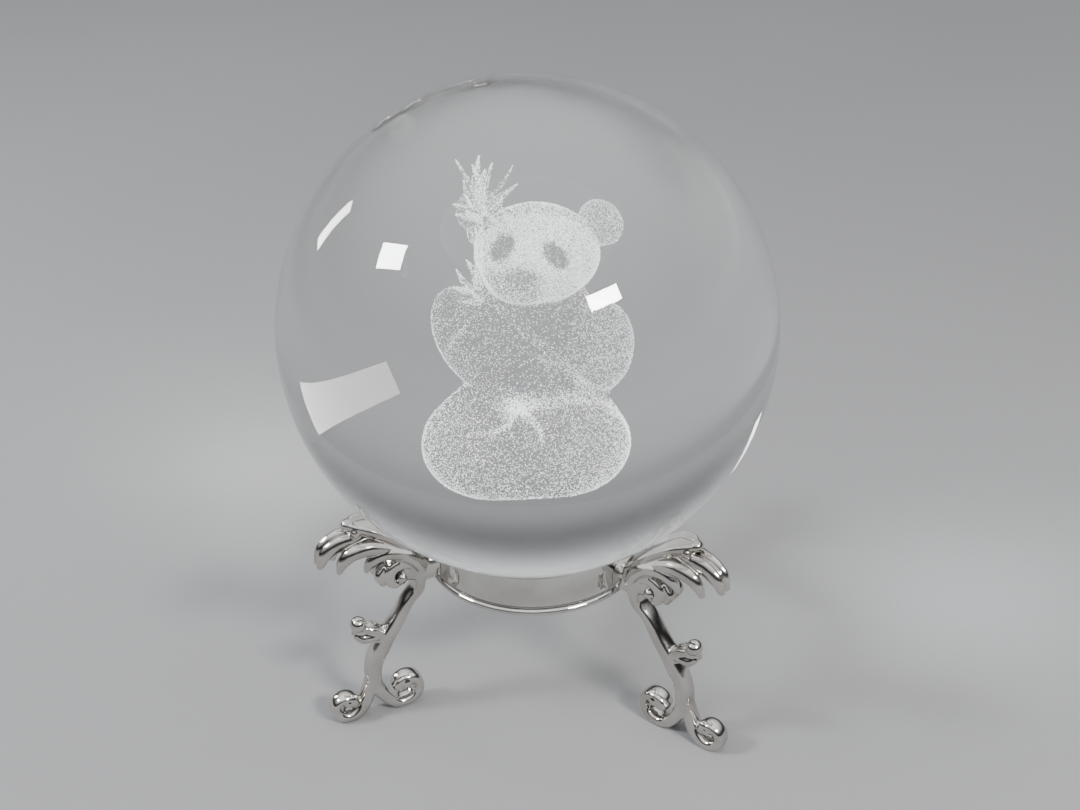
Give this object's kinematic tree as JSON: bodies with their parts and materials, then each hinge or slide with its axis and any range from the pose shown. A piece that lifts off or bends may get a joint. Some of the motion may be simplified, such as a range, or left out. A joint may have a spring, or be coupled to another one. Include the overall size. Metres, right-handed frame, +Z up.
{
  "type": "crystal ball",
  "caption": "Solid clear glass ball with a seated panda engraved inside, resting on a plated ring stand with scroll legs.",
  "frame": {"origin": "on the ground, under the centre of the ball", "axes": "+Z up; -Y is the front, towards which the engraved figure looks, within its turn in the seat"},
  "size_m": [0.08, 0.08, 0.11],
  "materials": {
    "ball_glass": "polished optical glass",
    "engraved_dots": "dense white micro-cracks inside the glass",
    "engraved_sparse": "sparse micro-cracks inside the glass, for the dark patches of the coat",
    "plated_ring": "bright silver plating",
    "plated_casting": "bright silver plating over a zinc casting",
    "screw_steel": "plain machine screw"
  },
  "bodies": {
    "stand": {"stand_ring": "plated_ring", "leg_left": "plated_casting", "leg_right": "plated_casting", "leg_back": "plated_casting", "leg_screw_left": "screw_steel", "leg_screw_right": "screw_steel", "leg_screw_back": "screw_steel"},
    "ball": {"crystal_ball": "ball_glass", "engraved_head": "engraved_dots", "engraved_nose": "engraved_sparse", "engraved_eye_patch_left": "engraved_sparse", "engraved_eye_patch_right": "engraved_sparse", "engraved_ear_left": "engraved_sparse", "engraved_ear_right": "engraved_sparse", "engraved_torso": "engraved_dots", "engraved_arm_left": "engraved_sparse", "engraved_arm_right": "engraved_sparse", "engraved_leg_left": "engraved_dots", "engraved_leg_right": "engraved_dots", "engraved_hips": "engraved_dots", "engraved_bamboo_stalk": "engraved_dots", "engraved_bamboo_leaves": "engraved_dots"}
  },
  "joints": [
    {"name": "ball_lift", "type": "slide", "parent": "stand", "child": "ball", "axis": [0, 0, 1], "range_m": [0, 0.05]}
  ]
}
